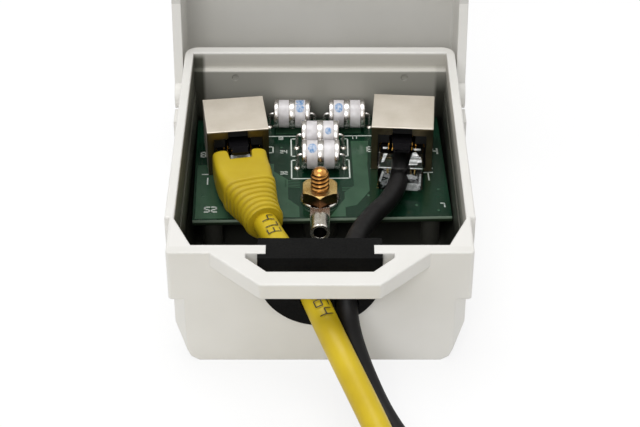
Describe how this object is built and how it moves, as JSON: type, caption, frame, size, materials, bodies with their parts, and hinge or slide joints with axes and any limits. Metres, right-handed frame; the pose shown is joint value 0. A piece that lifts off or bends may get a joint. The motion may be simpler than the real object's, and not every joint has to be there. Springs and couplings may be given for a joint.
{
  "type": "ethernet surge protector",
  "caption": "Outdoor wall box with hinged lid that passes a network line through gas tubes to a ground stud, with both leads plugged in.",
  "frame": {"origin": "centre of the flat back face, the side that goes against the wall", "axes": "+X right seen from the cable end, +Y from the cable end to the lid's hinge, +Z from the back face to the rim"},
  "size_m": [0.0828, 0.3012, 0.1193],
  "materials": {
    "case_plastic": "moulded, fine matt texture",
    "black_rubber": "matt moulded rubber",
    "board_green": "solder mask over copper",
    "zinc_steel": "zinc plated",
    "raw_brass": "turned",
    "plated_brass": "turned, bright",
    "tinned_copper": "tinned, satin",
    "ceramic_tube": "white ceramic with nickel end caps",
    "nickel_sheet": "satin nickel plate",
    "black_plastic": "moulded",
    "gold_contact": "gold plated",
    "clear_plastic": "clear moulded polycarbonate",
    "yellow_boot": "soft moulded vinyl",
    "yellow_jacket": "extruded vinyl jacket",
    "black_jacket": "extruded vinyl jacket"
  },
  "bodies": {
    "base": {"base_shell": "case_plastic", "cable_grommet": "black_rubber", "circuit_board": "board_green", "board_screws": "zinc_steel", "ground_stud": "raw_brass", "ground_nut": "plated_brass", "ring_terminal": "tinned_copper", "gas_tube_front": "ceramic_tube", "gas_tube_middle": "ceramic_tube", "gas_tube_rear_left": "ceramic_tube", "gas_tube_rear_right": "ceramic_tube", "left_jack_shield": "nickel_sheet", "left_jack_housing": "black_plastic", "left_jack_contacts": "gold_contact", "right_jack_shield": "nickel_sheet", "right_jack_housing": "black_plastic", "right_jack_contacts": "gold_contact", "yellow_plug_body": "clear_plastic", "yellow_plug_contacts": "gold_contact", "yellow_far_plug_body": "clear_plastic", "yellow_far_plug_contacts": "gold_contact", "black_plug_body": "clear_plastic", "black_plug_contacts": "gold_contact", "black_far_plug_body": "clear_plastic", "black_far_plug_contacts": "gold_contact", "yellow_plug_boot": "yellow_boot", "yellow_far_plug_boot": "yellow_boot", "yellow_cable": "yellow_jacket", "black_cable": "black_jacket", "yellow_coil": "yellow_jacket", "black_coil": "black_jacket", "yellow_tail": "yellow_jacket", "black_tail": "black_jacket", "yellow_coil_tie": "black_rubber", "black_coil_tie": "black_rubber"},
    "lid": {"lid": "case_plastic"}
  },
  "joints": [
    {"name": "lid_hinge", "type": "hinge", "parent": "base", "child": "lid", "pos_m": [0, 0.041, 0.0203], "axis": [1, 0, 0], "range_deg": [0, 100]}
  ]
}
